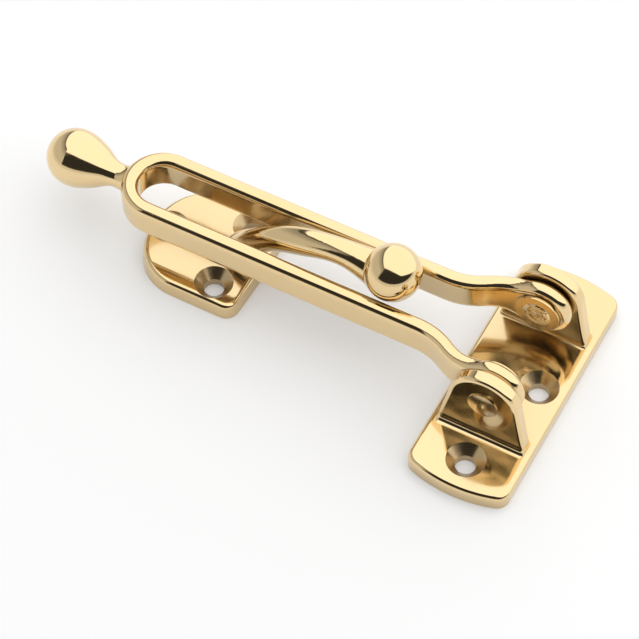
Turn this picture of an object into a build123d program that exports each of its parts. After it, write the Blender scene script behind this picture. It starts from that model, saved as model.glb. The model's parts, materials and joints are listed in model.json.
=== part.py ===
from build123d import *
import math
import os

# Swing-bar door guard in cast brass, millimetres.
# The hinge plate screws to the door frame, and the looped bar swings on its two lugs.
# The keep screws to the door, and its ball-ended neck runs along the loop's slot.
# Origin: centre of the hinge plate's back face. The bar points to -X, the pivot lies
# along Y, and +Z leaves both plates' backs.

os.makedirs("parts", exist_ok=True)

# Hinge plate
plate_length = 59.8
plate_width = 22.8
plate_thickness = 3.8
plate_end_bow = 2.2
plate_corner_radius = 3.0
plate_edge_radius = 1.2

# Countersunk screw holes, the same in both plates
screw_radius = 2.2
sink_radius = 4.2
sink_angle = 90.0
end_hole_spacing = 45.8
middle_hole_offset = 5.6

# Lugs of the hinge plate, and the pivot
pivot_height = 15.3
lug_thickness = 3.25
lug_top_radius = 7.7
lug_foot_width = 20.0
lug_foot_depth = 2.4
lug_rim_radius = 0.9
lug_foot_radius = 1.3
lug_inner_foot_radius = 0.8

# Rivets
rivet_radius = 2.5
rivet_lug_clearance = 0.02
rivet_eye_clearance = 0.06
rivet_head_radius = 4.9
rivet_head_thickness = 0.6
rivet_head_gap = 0.1
rivet_dish_radius = 2.5
rivet_dish_depth = 0.3
rivet_dome_radius = 3.25
rivet_rim_height = 0.25
rivet_dome_height = 0.2

# Swing bar
bar_width = 3.6
bar_height = 8.3
bar_edge_radius = 1.65
bar_droop = 0.55
slot_width = 10.3
loop_length = 92.3
eye_radius = 6.7
eye_thickness = 3.45
eye_inner_span = 18.9
eye_lug_gap = 0.3
eye_flat_length = 4.6
eye_blend_radius = 20.0
bend_length = 15.0

# Share of the bend at which the two arcs of each edge meet
outer_bend_share = 0.445
inner_bend_share = 0.555

# Knob at the end of the loop
knob_radius = 6.35
knob_reach = 12.6
knob_neck_radius = 2.7
knob_neck_reach = 1.8
knob_root_radius = 3.3

# Knob's body between neck and widest place: reach from the loop's end, and radius
knob_body = [(5.7, 4.25), (8.6, 5.6)]

# Keep: a plate, and a neck that rises through the slot to a ball
ball_radius = 6.15
ball_clearance = 0.28
ball_reach = 28.8
keep_edge_reach = 30.6
keep_plate_length = 27.3
keep_width = 27.0
keep_thickness = 3.8
keep_side_draft = 6.0
keep_apex_bow = 7.5
keep_apex_corner_radius = 11.4
keep_edge_bow = 0.4
keep_corner_radius = 3.0
keep_edge_radius = 1.2
keep_side_hole_reach = 37.9
keep_side_hole_spacing = 16.8
keep_apex_hole_reach = 53.5
neck_radius = 2.85
neck_root_reach = 37.5
neck_root_length = 9.6
neck_root_width = 8.0
neck_root_depth = 1.8
neck_root_lean = 20.0

# Neck's line, from its root to the ball: reach from the ball and drop below its centre
neck_line = [(34.8, 12.8), (30.1, 7.9), (26.9, 5.5), (23.5, 3.5), (17.0, 1.4), (8.3, 0.5)]

# Neck's swell over its plain radius, at shares of its length
neck_swell = [
    (0.13, 1.15),
    (0.24, 1.02),
    (0.4, 1.0),
    (0.6, 1.0),
    (0.76, 1.08),
    (0.84, 1.32),
    (0.88, 1.5),
    (0.92, 1.8),
]

# Sizes that follow
eye_inner = eye_inner_span / 2
eye_outer = eye_inner + eye_thickness
lug_inner = eye_outer + eye_lug_gap
lug_outer = lug_inner + lug_thickness
leg_inner = slot_width / 2
leg_outer = leg_inner + bar_width
bend_start = eye_flat_length + bend_length
loop_centre = loop_length - leg_outer
half_height = bar_height / 2
pivot_axis = Axis((0, 0, pivot_height), (0, 1, 0))

# Section and side plane through the pivot; the bar is drawn level and drooped at the end
pivot_section = Plane(origin=(0, 0, pivot_height), x_dir=(0, 1, 0), z_dir=(1, 0, 0))
bar_side = Plane(origin=(0, 0, pivot_height), x_dir=(1, 0, 0), z_dir=(0, -1, 0))

# The ball rides just clear of the slot's two rounded upper edges
edge_span = leg_inner + bar_edge_radius
ball_to_edge = ball_radius + bar_edge_radius + ball_clearance
ball_rise = half_height - bar_edge_radius + math.sqrt(ball_to_edge**2 - edge_span**2)
droop = math.radians(bar_droop)
ball_x = -ball_reach * math.cos(droop) - ball_rise * math.sin(droop)
ball_z = pivot_height - ball_reach * math.sin(droop) + ball_rise * math.cos(droop)
keep_side = Plane(origin=(ball_x, 0, ball_z), x_dir=(1, 0, 0), z_dir=(0, -1, 0))


# Lug: a round eye drawn down by tangents to a wide foot, which flares into the plate
with BuildPart() as lug:
    lug_root = plate_thickness - lug_foot_depth
    lug_reach = pivot_height + lug_top_radius + lug_foot_radius
    with BuildSketch(Plane.XZ.offset(-lug_outer - lug_foot_radius)):
        with Locations((0, pivot_height)):
            Circle(lug_top_radius)
        with Locations((0, plate_thickness - lug_foot_depth / 2)):
            Rectangle(lug_foot_width, lug_foot_depth)
        make_hull()
    extrude(amount=lug_thickness + lug_foot_radius + lug_inner_foot_radius)
    with BuildSketch(Plane.YZ):
        with BuildLine():
            outer_foot = TangentArc(
                (lug_outer, plate_thickness + lug_foot_radius),
                (lug_outer + lug_foot_radius, plate_thickness),
                tangent=(0, -1),
            )
            inner_foot = TangentArc(
                (lug_inner, plate_thickness + lug_inner_foot_radius),
                (lug_inner - lug_inner_foot_radius, plate_thickness),
                tangent=(0, -1),
            )
            Polyline(
                outer_foot @ 1,
                (lug_outer + lug_foot_radius, lug_root),
                (lug_inner - lug_inner_foot_radius, lug_root),
                inner_foot @ 1,
            )
            Polyline(
                inner_foot @ 0,
                (lug_inner, lug_reach),
                (lug_outer, lug_reach),
                outer_foot @ 0,
            )
        make_face()
    extrude(amount=lug_foot_width, both=True, mode=Mode.INTERSECT)
    rims = lug.edges().filter_by(Axis.Y, reverse=True)
    rims = rims.filter_by(lambda e: e.center().Z > plate_thickness + lug_foot_radius)
    fillet(rims, lug_rim_radius)


# Hinge plate: a plate with bowed ends, two cast lugs and three countersunk holes
with BuildPart() as hinge_plate:
    half_width = plate_width / 2
    half_length = plate_length / 2
    shoulder = half_length - plate_end_bow
    with BuildSketch() as plate_outline:
        with BuildLine():
            Line((half_width, -shoulder), (half_width, shoulder))
            ThreePointArc((half_width, shoulder), (0, half_length), (-half_width, shoulder))
            Line((-half_width, shoulder), (-half_width, -shoulder))
            ThreePointArc((-half_width, -shoulder), (0, -half_length), (half_width, -shoulder))
        make_face()
        fillet(plate_outline.vertices(), plate_corner_radius)
    extrude(amount=plate_thickness)
    fillet(hinge_plate.faces().sort_by(Axis.Z)[-1].edges(), plate_edge_radius)
    add(lug.part)
    add(mirror(lug.part, about=Plane.XZ))

    # Bores for the rivets
    with BuildSketch(Plane.XZ):
        with Locations((0, pivot_height)):
            Circle(rivet_radius + rivet_lug_clearance)
    extrude(amount=half_length, both=True, mode=Mode.SUBTRACT)

    # Screw holes
    with Locations(
        (0, end_hole_spacing / 2, plate_thickness),
        (0, -end_hole_spacing / 2, plate_thickness),
        (middle_hole_offset, 0, plate_thickness),
    ):
        CounterSinkHole(screw_radius, sink_radius, counter_sink_angle=sink_angle)

hinge_plate.part.label = "hinge_plate"
export_step(hinge_plate.part, "parts/hinge_plate.step")


# Rivets: a dished head inside the eye, a shank through eye and lug, a low raised disc outside
with BuildPart() as pivot_rivet_far:
    head_back = eye_inner - rivet_head_gap
    head_face = head_back - rivet_head_thickness
    dish_floor = head_face + rivet_dish_depth
    rim_top = lug_outer + rivet_rim_height
    dome_top = rim_top + rivet_dome_height
    with BuildSketch(pivot_section):
        with BuildLine():
            Polyline(
                (dome_top, 0),
                (dish_floor, 0),
                (head_face, rivet_dish_radius),
                (head_face, rivet_head_radius),
                (head_back, rivet_head_radius),
                (head_back, rivet_radius),
                (lug_outer, rivet_radius),
                (lug_outer, rivet_dome_radius),
                (rim_top, rivet_dome_radius),
            )
            TangentArc((dome_top, 0), (rim_top, rivet_dome_radius), tangent=(0, 1))
        make_face()
    revolve(axis=pivot_axis)

pivot_rivet_far.part.label = "pivot_rivet_far"
export_step(pivot_rivet_far.part, "parts/pivot_rivet_far.step")


with BuildPart() as pivot_rivet_near:
    add(mirror(pivot_rivet_far.part, about=Plane.XZ))

pivot_rivet_near.part.label = "pivot_rivet_near"
export_step(pivot_rivet_near.part, "parts/pivot_rivet_near.step")


# Edge of one leg in the bar's plan: straight, then an S-bend of two arcs to the eye.
# The arcs meet at the given share of the bend.
def leg_edge(straight_y, eye_y, share):
    bend_foot = Vector(-bend_start, straight_y)
    bend_head = Vector(-eye_flat_length, eye_y)
    bend_middle = bend_foot + (bend_head - bend_foot) * share
    Line((-loop_centre, straight_y), bend_foot)
    TangentArc(bend_foot, bend_middle, tangent=(1, 0))
    TangentArc(bend_head, bend_middle, tangent=(-1, 0))
    Line(bend_head, (eye_radius, eye_y))


# Swing bar: a plan outline cut through by a side outline, then every edge rounded
with BuildPart() as level_bar:
    with BuildSketch(Plane.XY.offset(pivot_height)):
        with BuildLine():
            leg_edge(leg_outer, eye_outer, outer_bend_share)
            leg_edge(leg_inner, eye_inner, inner_bend_share)
            Line((eye_radius, eye_inner), (eye_radius, eye_outer))
            mirror(about=Plane.XZ)
            ThreePointArc((-loop_centre, leg_outer), (-loop_length, 0), (-loop_centre, -leg_outer))
            ThreePointArc(
                (-loop_centre, leg_inner),
                (-loop_length + bar_width, 0),
                (-loop_centre, -leg_inner),
            )
        make_face()
    extrude(amount=lug_top_radius, both=True)

    # Side outline: round eye, a blend, then a level bar
    blend_reach = math.sqrt(
        (eye_radius + eye_blend_radius) ** 2 - (half_height + eye_blend_radius) ** 2
    )
    blend_share = eye_radius / (eye_radius + eye_blend_radius)
    blend_x = -blend_reach * blend_share
    blend_z = (half_height + eye_blend_radius) * blend_share
    bar_end = -loop_length - bar_width
    eye_slant = eye_radius * math.sqrt(0.5)
    with BuildSketch(bar_side):
        with BuildLine():
            Polyline((bar_end, 0), (bar_end, half_height), (-blend_reach, half_height))
            TangentArc((-blend_reach, half_height), (blend_x, blend_z), tangent=(1, 0))
            ThreePointArc((blend_x, blend_z), (eye_slant, eye_slant), (eye_radius, 0))
            mirror(about=Plane.XZ)
        make_face()
    extrude(amount=eye_outer, both=True, mode=Mode.INTERSECT)
    rims = level_bar.edges().filter_by(Axis.Y, reverse=True).filter_by(Axis.Z, reverse=True)
    fillet(rims, bar_edge_radius)

    # Knob: a teardrop turned about its own line, on a short neck
    neck_x = -loop_length - knob_neck_reach
    widest_x = -loop_length - knob_reach
    root_x = -loop_length + bar_edge_radius / 2
    knob_slant = knob_radius * math.sqrt(0.5)
    with BuildSketch(bar_side):
        with BuildLine():
            TangentArc((neck_x, knob_neck_radius), (root_x, knob_root_radius), tangent=(1, 0))
            Spline(
                (neck_x, knob_neck_radius),
                *[(-loop_length - reach, radius) for reach, radius in knob_body],
                (widest_x, knob_radius),
                tangents=[(-1, 0), (-1, 0)],
            )
            ThreePointArc(
                (widest_x, knob_radius),
                (widest_x - knob_slant, knob_slant),
                (widest_x - knob_radius, 0),
            )
            Polyline((widest_x - knob_radius, 0), (root_x, 0), (root_x, knob_root_radius))
        make_face()
    revolve(axis=Axis(bar_side.origin, bar_side.x_dir))

    # Bores of the two eyes
    with BuildSketch(Plane.XZ):
        with Locations((0, pivot_height)):
            Circle(rivet_radius + rivet_eye_clearance)
    extrude(amount=lug_outer, both=True, mode=Mode.SUBTRACT)


# The bar in its place, drooped about the pivot towards the keep's plate
with BuildPart() as swing_bar:
    add(level_bar.part.rotate(pivot_axis, -bar_droop))

swing_bar.part.label = "swing_bar"
export_step(swing_bar.part, "parts/swing_bar.step")


# Keep: a D-shaped plate with a swan neck that ends in a ball
with BuildPart() as keep:
    half_keep = keep_width / 2
    edge_x = ball_x - keep_edge_reach
    apex_x = edge_x - keep_plate_length
    corner_x = edge_x - keep_edge_bow
    arch_x = apex_x + keep_apex_bow
    with BuildSketch() as keep_outline:
        with BuildLine():
            Line((corner_x, half_keep), (arch_x, half_keep))
            ThreePointArc((arch_x, half_keep), (apex_x, 0), (arch_x, -half_keep))
            Line((arch_x, -half_keep), (corner_x, -half_keep))
            ThreePointArc((corner_x, -half_keep), (edge_x, 0), (corner_x, half_keep))
        make_face()
        corners = keep_outline.vertices().group_by(Axis.X)
        fillet(corners[0], keep_apex_corner_radius)
        corners = keep_outline.vertices().group_by(Axis.X)
        fillet(corners[-1], keep_corner_radius)
    extrude(amount=keep_thickness, taper=keep_side_draft)
    fillet(keep.faces().sort_by(Axis.Z)[-1].edges(), keep_edge_radius)

    # Screw holes, cut before the neck rises between them
    with Locations((ball_x, 0, keep_thickness)):
        with Locations(
            (-keep_side_hole_reach, keep_side_hole_spacing / 2, 0),
            (-keep_side_hole_reach, -keep_side_hole_spacing / 2, 0),
            (-keep_apex_hole_reach, 0, 0),
        ):
            CounterSinkHole(screw_radius, sink_radius, counter_sink_angle=sink_angle)

    # Neck: round sections along one smooth line
    lean = math.radians(neck_root_lean)
    root_drop = ball_z - keep_thickness + neck_root_depth
    neck_points = [(neck_root_reach, root_drop)] + neck_line + [(0, 0)]
    with BuildLine(keep_side) as neck_path:
        Spline(
            [(-reach, -drop) for reach, drop in neck_points],
            tangents=[(math.sin(lean), math.cos(lean)), (1, 0)],
        )
    neck = neck_path.line
    with BuildSketch(Plane(neck @ 0)):
        Ellipse(neck_root_length / 2, neck_root_width / 2)
    for share, swell in neck_swell:
        with BuildSketch(Plane(neck @ share, x_dir=(0, 1, 0), z_dir=neck % share)):
            Circle(neck_radius * swell)
    loft()
    with Locations((ball_x, 0, ball_z)):
        Sphere(ball_radius)

keep.part.label = "keep"
export_step(keep.part, "parts/keep.step")
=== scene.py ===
import json
import math

import bmesh
import bpy
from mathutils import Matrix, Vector


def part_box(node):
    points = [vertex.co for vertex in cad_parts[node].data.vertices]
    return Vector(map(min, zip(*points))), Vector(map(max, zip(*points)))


# Door guard in polished, lacquered brass, on a plain pale floor under a photographer's light tent.
# Metres. The hinge plate's back face is at the origin, the bar points to -X, and +Z is up.

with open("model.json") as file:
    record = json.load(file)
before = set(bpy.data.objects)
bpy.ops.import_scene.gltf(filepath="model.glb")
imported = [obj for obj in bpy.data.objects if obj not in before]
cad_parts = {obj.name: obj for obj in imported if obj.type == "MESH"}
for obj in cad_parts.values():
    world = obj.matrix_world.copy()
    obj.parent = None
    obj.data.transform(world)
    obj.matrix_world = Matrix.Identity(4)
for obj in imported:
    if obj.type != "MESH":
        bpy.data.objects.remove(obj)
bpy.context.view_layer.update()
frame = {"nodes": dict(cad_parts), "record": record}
nodes = frame["nodes"]
record = frame["record"]
mounts = {m["name"]: m for m in record["mounts"]}


# Places taken from the frame

rivet_low, rivet_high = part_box("pivot_rivet_far")
pivot = Vector((0.0, 0.0, (rivet_low[2] + rivet_high[2]) / 2))
rivet_split = (rivet_low[1] + rivet_high[1]) / 2

hole_spacing = mounts["hinge_end_holes"]["dims"]["spacing_y_mm"] / 1000
hinge_holes = [
    (0.0, hole_spacing / 2),
    (0.0, -hole_spacing / 2),
    tuple(mounts["hinge_middle_hole"]["pos_m"][:2]),
]
side_x = mounts["keep_side_holes"]["pos_m"][0]
side_spacing = mounts["keep_side_holes"]["dims"]["spacing_y_mm"] / 1000
keep_holes = [
    (side_x, side_spacing / 2),
    (side_x, -side_spacing / 2),
    tuple(mounts["keep_apex_hole"]["pos_m"][:2]),
]

# Countersinks' outer radius and the plates' thickness, as in the solids
sink_radius = 0.0042
plate_top = 0.0038


# Node helpers

class Graph:
    """Short calls for building one node tree."""

    def __init__(self, tree):
        self.tree = tree
        tree.nodes.clear()

    def node(self, kind, **settings):
        made = self.tree.nodes.new(kind)
        for name, value in settings.items():
            setattr(made, name, value)
        return made

    def wire(self, value, socket):
        if isinstance(value, bpy.types.NodeSocket):
            self.tree.links.new(value, socket)
        else:
            socket.default_value = value

    def math(self, operation, a, b=0.0):
        made = self.node("ShaderNodeMath", operation=operation)
        self.wire(a, made.inputs[0])
        self.wire(b, made.inputs[1])
        return made.outputs[0]

    def vector(self, operation, a, b=(0.0, 0.0, 0.0)):
        made = self.node("ShaderNodeVectorMath", operation=operation)
        self.wire(a, made.inputs[0])
        self.wire(b, made.inputs[1])
        return made.outputs["Value" if operation in ("LENGTH", "DOT_PRODUCT") else "Vector"]

    def range(self, value, low, high, to_low=0.0, to_high=1.0):
        """A smooth step from to_low, at low, to to_high, at high."""
        made = self.node("ShaderNodeMapRange", clamp=True, interpolation_type="SMOOTHSTEP")
        self.wire(value, made.inputs["Value"])
        self.wire(low, made.inputs["From Min"])
        self.wire(high, made.inputs["From Max"])
        self.wire(to_low, made.inputs["To Min"])
        self.wire(to_high, made.inputs["To Max"])
        return made.outputs[0]

    def mix(self, share, a, b):
        made = self.node("ShaderNodeMix", data_type="RGBA")
        self.wire(share, made.inputs["Factor"])
        self.wire(a, made.inputs[6])
        self.wire(b, made.inputs[7])
        return made.outputs[2]

    def noise(self, place, scale, detail=2.0, roughness=0.5, distortion=0.0):
        made = self.node("ShaderNodeTexNoise")
        self.wire(place, made.inputs["Vector"])
        made.inputs["Scale"].default_value = scale
        made.inputs["Detail"].default_value = detail
        made.inputs["Roughness"].default_value = roughness
        made.inputs["Distortion"].default_value = distortion
        return made.outputs["Fac"]

    def place(self):
        return self.node("ShaderNodeTexCoord").outputs["Object"]

    def axis(self, vector, name):
        parts = self.node("ShaderNodeSeparateXYZ")
        self.wire(vector, parts.inputs[0])
        return parts.outputs[name]

    def openness(self, distance):
        """1 on open surfaces, and less where others close in within the distance."""
        made = self.node("ShaderNodeAmbientOcclusion", samples=8)
        made.inputs["Distance"].default_value = distance
        return made.outputs["AO"]

    def bump(self, height, distance, strength, under=None, invert=False):
        made = self.node("ShaderNodeBump", invert=invert)
        made.inputs["Strength"].default_value = strength
        made.inputs["Distance"].default_value = distance
        self.wire(height, made.inputs["Height"])
        if under is not None:
            self.wire(under, made.inputs["Normal"])
        return made.outputs[0]

    def seen_directly(self):
        """1 for rays from the camera, off metal and through glass, and 0 for other rays."""
        rays = self.node("ShaderNodeLightPath")
        either = self.math("MAXIMUM", rays.outputs["Is Camera Ray"], rays.outputs["Is Glossy Ray"])
        return self.math("MAXIMUM", either, rays.outputs["Is Transmission Ray"])


def rgba(colour):
    return (*colour, 1.0)


# Brass

brass_colour = (0.82, 0.625, 0.34)
brass_deep = (0.76, 0.55, 0.27)
# Duller brass of the countersinks and rivets, also used as painted shade in crevices between parts
brass_dull_and_crevice_shade = (0.40, 0.28, 0.14)
# Painted shade for surfaces that other parts shelter
brass_painted_shade = (0.52, 0.42, 0.27)
drift_scale = 45.0
drift_share = 0.35

# How far the painted shade on close surfaces and on surfaces that others shelter reaches, and how
# strong it is
crevice_shade_distance = 0.0035
crevice_shade_share = 0.5
shelter_distance = 0.025
shelter_shade_share = 0.6

# Roughness of the polish, and what sheltered places add to it
patch_scale = 140.0
polish_fine = 0.045
polish_soft = 0.11
shelter_roughness = 0.15
rivet_shelter_roughness = 0.04

# Relief: noise scales, heights and strengths
ripple_scale = 110.0
ripple_low = 0.00002
ripple_middle = 0.00005
ripple_high = 0.0001
pinhole_scale = 520.0
pinhole_area_scale = 90.0
pinhole_area_level = 0.66
pinhole_depth = 0.0001
pinhole_strength = 0.6
dent_scale = 480.0
dent_distortion = 0.8
dent_depth = 0.0018
dent_strength = 0.9

# Countersinks: how far their rim and their top blend into the metal around, and their finish
sink_rim_in = 0.00012
sink_rim_out = 0.00003
sink_top_below = 0.00005
sink_top_above = 0.00002
sink_share = 0.55
sink_roughness = 0.13

# Rivets: the hammered middle is full out to the first radius and gone at the second
dent_radius = 0.0022
dent_fade_radius = 0.0031
split_margin = 0.001
pocket_share = 0.5
stroke_scale = (3600.0, 400.0, 500.0)
stroke_share = 0.25
stroke_roughness = 0.06
outer_brown = 0.3
rivet_brown = 0.1
rivet_roughness = 0.07

coat_weight = 0.3
coat_roughness = 0.04


def countersinks(g, place, holes):
    """1 inside the countersinks and 0 elsewhere."""
    flat = g.vector("MULTIPLY", place, (1.0, 1.0, 0.0))
    inside = None
    for x, y in holes:
        away = g.vector("LENGTH", g.vector("SUBTRACT", flat, (x, y, 0.0)))
        one = g.range(away, sink_radius - sink_rim_in, sink_radius + sink_rim_out, 1.0, 0.0)
        inside = one if inside is None else g.math("MAXIMUM", inside, one)
    height = g.axis(place, "Z")
    below = g.range(height, plate_top - sink_top_below, plate_top + sink_top_above, 1.0, 0.0)
    return g.math("MULTIPLY", inside, below)


def rivet_ends(g, place, colour, finish):
    """A rivet's colour and finish, and its head's dents. The outer end is brushed brown."""
    from_pivot = g.vector("SUBTRACT", place, tuple(pivot))
    across = g.vector("MULTIPLY", from_pivot, (1.0, 0.0, 1.0))
    middle = g.range(g.vector("LENGTH", across), dent_radius, dent_fade_radius, 1.0, 0.0)
    out_way = g.math("ABSOLUTE", g.axis(place, "Y"))
    outer = g.range(out_way, rivet_split - split_margin, rivet_split + split_margin)
    inner = g.math("SUBTRACT", 1.0, outer)
    dents = g.noise(place, dent_scale, 2.0, 0.5, dent_distortion)
    hammered = g.math("MULTIPLY", middle, g.math("MULTIPLY", dents, inner))
    strokes = g.range(g.noise(g.vector("MULTIPLY", place, stroke_scale), 1.0, 2.0), 0.3, 0.7)
    streaks = g.math("ADD", outer_brown, g.math("MULTIPLY", strokes, stroke_share))
    brown = g.math("ADD", rivet_brown, g.math("MULTIPLY", outer, streaks))
    pocket = g.range(dents, 0.38, 0.55, pocket_share, 0.0)
    pocket = g.math("MULTIPLY", pocket, g.math("MULTIPLY", middle, inner))
    colour = g.mix(g.math("MAXIMUM", brown, pocket), colour, rgba(brass_dull_and_crevice_shade))
    rough = g.math("MULTIPLY", strokes, stroke_roughness)
    finish = g.math("ADD", g.math("ADD", finish, rivet_roughness), rough)
    return colour, finish, hammered


def brass(name, holes=(), rivet=False, ripple_height=ripple_low):
    """Polished brass under clear lacquer, with duller countersinks and peened rivets."""
    material = bpy.data.materials.new(name)
    material.use_nodes = True
    g = Graph(material.node_tree)
    out = g.node("ShaderNodeOutputMaterial")
    shader = g.node("ShaderNodeBsdfPrincipled")
    g.wire(shader.outputs[0], out.inputs["Surface"])
    place = g.place()

    # Colour: slow drift of the alloy's tint, and painted shade where other surfaces close in
    drift = g.range(g.noise(place, drift_scale, 3.0), 0.3, 0.7)
    colour = g.mix(g.math("MULTIPLY", drift, drift_share), rgba(brass_colour), rgba(brass_deep))
    # Painted shade: darker brass where other surfaces close in within a few millimetres
    crevice_shade = g.range(g.openness(crevice_shade_distance), 0.25, 0.75, 1.0, 0.0)
    colour = g.mix(g.math("MULTIPLY", crevice_shade, crevice_shade_share), colour, rgba(brass_dull_and_crevice_shade))
    # Painted shade: a browner, duller colour over wider places that other parts shelter, such as
    # the plate between the lugs
    openness = g.openness(shelter_distance)
    shelter_shade = g.range(openness, 0.3, 0.8, 1.0, 0.0)
    colour = g.mix(g.math("MULTIPLY", shelter_shade, shelter_shade_share), colour, rgba(brass_painted_shade))

    # Finish: buffed almost to a mirror, softer in patches and where a mop can't reach
    patch_noise = g.noise(place, patch_scale, 4.0, 0.6)
    patches = g.range(patch_noise, 0.35, 0.75, polish_fine, polish_soft)
    dulling = rivet_shelter_roughness if rivet else shelter_roughness
    finish = g.math("ADD", patches, g.range(openness, 0.3, 0.75, dulling, 0.0))

    # Relief: a faint ripple left by polishing a casting, and rare pinholes
    ripple = g.noise(place, ripple_scale, 1.5, 0.45)
    pins = g.node("ShaderNodeTexVoronoi", feature="F1")
    g.wire(g.vector("MULTIPLY", place, (pinhole_scale,) * 3), pins.inputs["Vector"])
    rare = g.math("GREATER_THAN", g.noise(place, pinhole_area_scale, 1.0), pinhole_area_level)
    pinholes = g.math("MULTIPLY", g.range(pins.outputs["Distance"], 0.05, 0.14, 1.0, 0.0), rare)
    relief = g.bump(ripple, ripple_height, 1.0)
    relief = g.bump(pinholes, pinhole_depth, pinhole_strength, relief, invert=True)

    # Countersinks: turned and not buffed, so they stay satin and browner
    if holes:
        sunk = countersinks(g, place, holes)
        colour = g.mix(g.math("MULTIPLY", sunk, sink_share), colour, rgba(brass_dull_and_crevice_shade))
        finish = g.math("ADD", finish, g.math("MULTIPLY", sunk, sink_roughness))

    if rivet:
        colour, finish, hammered = rivet_ends(g, place, colour, finish)
        relief = g.bump(hammered, dent_depth, dent_strength, relief)

    g.wire(colour, shader.inputs["Base Color"])
    g.wire(finish, shader.inputs["Roughness"])
    g.wire(relief, shader.inputs["Normal"])
    shader.inputs["Metallic"].default_value = 1.0
    shader.inputs["Coat Weight"].default_value = coat_weight
    shader.inputs["Coat Roughness"].default_value = coat_roughness
    return material


finishes = {
    "hinge_plate": brass("brass_hinge_plate", hinge_holes, ripple_height=ripple_high),
    "keep": brass("brass_keep", keep_holes, ripple_height=ripple_middle),
    "swing_bar": brass("brass_swing_bar"),
    "pivot_rivet_near": brass("brass_rivet_near", rivet=True),
    "pivot_rivet_far": brass("brass_rivet_far", rivet=True),
}
for name, material in finishes.items():
    for slot in nodes[name].material_slots:
        slot.material = material


def studio_object(name, shape, material):
    """Object made from a bmesh, for the studio and not for the door guard."""
    mesh = bpy.data.meshes.new(name)
    shape.to_mesh(mesh)
    shape.free()
    mesh.materials.append(material)
    made = bpy.data.objects.new(name, mesh)
    bpy.context.scene.collection.objects.link(made)
    return made


# Floor

floor_half = 3.0
floor_colour = (0.82, 0.82, 0.82)

# Light that the paper adds where it is seen, so that the background is white
floor_lift = 0.19

paper = bpy.data.materials.new("pale_paper")
paper.use_nodes = True
g = Graph(paper.node_tree)
out = g.node("ShaderNodeOutputMaterial")
both = g.node("ShaderNodeAddShader")
sheet = g.node("ShaderNodeBsdfDiffuse")
sheet.inputs["Color"].default_value = rgba(floor_colour)
lift = g.node("ShaderNodeEmission")
g.wire(g.math("MULTIPLY", g.seen_directly(), floor_lift), lift.inputs["Strength"])
g.wire(sheet.outputs[0], both.inputs[0])
g.wire(lift.outputs[0], both.inputs[1])
g.wire(both.outputs[0], out.inputs["Surface"])

shape = bmesh.new()
bmesh.ops.create_grid(shape, x_segments=1, y_segments=1, size=floor_half)
floor = studio_object("floor", shape, paper)


# Light tent

# The tent is white cloth behind and above. Its front is open towards the dark room. To the
# left, past the dark pole of its frame, stands a grey wall that is lighter further from the
# tent. The camera doesn't see the tent.
tent_radius = 1.6
tent_foot = -0.01
cloth_level = 1.42
room_level = 0.035
pole_level = 0.08
wall_level_near = 0.36
wall_level_far = 0.66
table_level = 0.8

# Each edge lies about where a direction's dot product with its side is 0, and fades over the
# range given under it
front_side = (0.05, 1.0, 0.575)
front_fade = (-0.045, 0.035)
left_side = (1.0, 0.55, 0.82)
left_fade = (-0.02, 0.02)
right_side = (-0.66, 1.0, 1.56)
right_fade = (-0.05, 0.10)
room_side = (0.848, -0.53, 0.0)
room_fade = (-0.06, 0.04)

# The wall and the pole, along the left side's dot product, and the table's edge in height
wall_span = (-0.55, -0.08)
pole_outer_fade = (-0.10, -0.07)
pole_inner_fade = (-0.01, 0.02)
table_fade = (0.10, 0.18)

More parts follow.
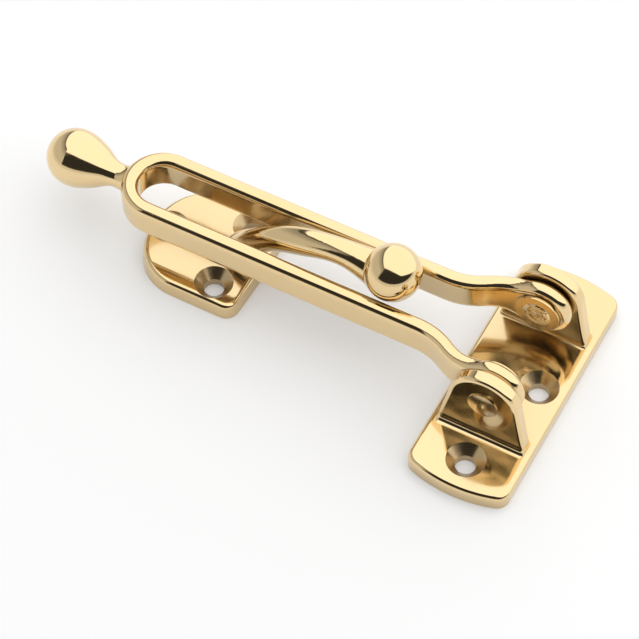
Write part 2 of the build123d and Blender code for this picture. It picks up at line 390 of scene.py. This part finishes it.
cloth = bpy.data.materials.new("tent_cloth")
cloth.use_nodes = True
g = Graph(cloth.node_tree)
out = g.node("ShaderNodeOutputMaterial")
glow = g.node("ShaderNodeEmission")
way = g.vector("NORMALIZE", g.place())
left_way = g.vector("DOT_PRODUCT", way, left_side)
front_edge = g.range(g.vector("DOT_PRODUCT", way, front_side), *front_fade)
left_edge = g.range(left_way, *left_fade)
right_edge = g.range(g.vector("DOT_PRODUCT", way, right_side), *right_fade)
in_cloth = g.math("MULTIPLY", g.math("MULTIPLY", front_edge, left_edge), right_edge)
in_room = g.range(g.vector("DOT_PRODUCT", way, room_side), *room_fade)
wall = g.range(left_way, *wall_span, wall_level_far, wall_level_near)
pole_outer = g.range(left_way, *pole_outer_fade)
pole_inner = g.range(left_way, *pole_inner_fade, 1.0, 0.0)
pole = g.math("MULTIPLY", pole_outer, pole_inner)
table = g.range(g.axis(way, "Z"), *table_fade, 1.0, 0.0)


def blend_levels(share, a, b):
    """Level a where share is 0, and b where it is 1."""
    return g.math("ADD", a, g.math("MULTIPLY", share, g.math("SUBTRACT", b, a)))


around = blend_levels(pole, wall, pole_level)
around = blend_levels(in_room, around, room_level)
around = blend_levels(table, around, table_level)
level = blend_levels(in_cloth, around, cloth_level)
g.wire(level, glow.inputs["Strength"])
g.wire(glow.outputs[0], out.inputs["Surface"])

shape = bmesh.new()
bmesh.ops.create_uvsphere(shape, u_segments=64, v_segments=32, radius=tent_radius)
lower = [v for v in shape.verts if v.co.z < tent_foot]
bmesh.ops.delete(shape, geom=lower, context="VERTS")
tent = studio_object("light_tent", shape, cloth)
tent.visible_camera = False
tent.visible_shadow = False


# World: white where it is seen, and dimmer as a light

world_light = 0.6
world_seen = 1.0

world = bpy.data.worlds.new("studio")
bpy.context.scene.world = world
world.use_nodes = True
g = Graph(world.node_tree)
out = g.node("ShaderNodeOutputWorld")
back = g.node("ShaderNodeBackground")
g.wire(g.range(g.seen_directly(), 0.0, 1.0, world_light, world_seen), back.inputs["Strength"])
g.wire(back.outputs[0], out.inputs["Surface"])


# Camera

camera_place = Vector((0.11865, -0.30881, 0.49983))
camera_azimuth = math.radians(28.05)
camera_elevation = math.radians(55.36)
camera_lens = 161.79

camera_data = bpy.data.cameras.new("camera")
camera_data.lens = camera_lens
camera_data.sensor_width = 36.0
camera_data.clip_start = 0.01
camera_data.clip_end = 20.0
camera = bpy.data.objects.new("camera", camera_data)
camera.location = camera_place
camera.rotation_euler = (math.pi / 2 - camera_elevation, 0.0, camera_azimuth)
bpy.context.scene.collection.objects.link(camera)
bpy.context.scene.camera = camera

bpy.context.scene.view_settings.view_transform = "Standard"
